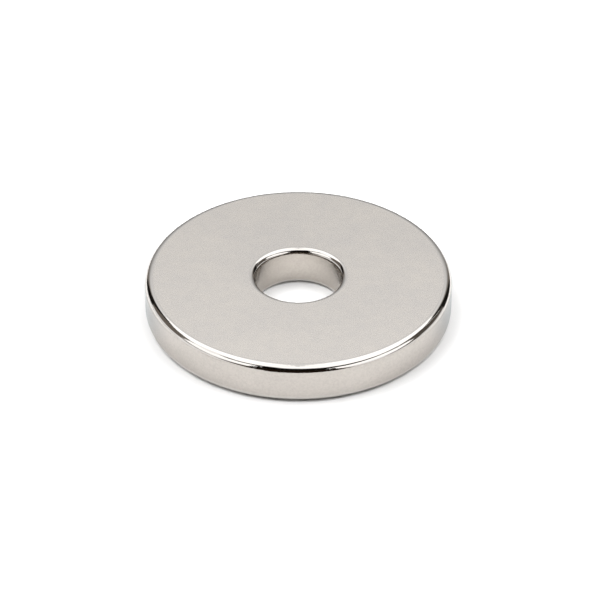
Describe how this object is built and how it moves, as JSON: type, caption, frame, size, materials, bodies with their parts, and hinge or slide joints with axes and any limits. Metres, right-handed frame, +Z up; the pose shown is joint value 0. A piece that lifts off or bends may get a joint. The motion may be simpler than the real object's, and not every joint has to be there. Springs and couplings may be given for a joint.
{
  "type": "ring magnet",
  "caption": "Flat nickel-plated ring magnet with a plain bore through its middle and rounded edges.",
  "frame": {"origin": "centre of the bottom pole face, on the axis of the bore, at the level the ring rests on", "axes": "+Z up along the bore axis, from the bottom pole face to the top one; +X and +Y lie in the bottom pole face and are free, because the ring is round"},
  "size_m": [0.0226, 0.0224, 0.003],
  "materials": {
    "nickel_plating": "bright nickel plating, warm light grey: satin with a fine grain on the two pole faces, near-mirror on the rim, the bore and the rounded edges"
  },
  "bodies": {
    "root": {"ring_magnet": "nickel_plating"}
  },
  "joints": []
}
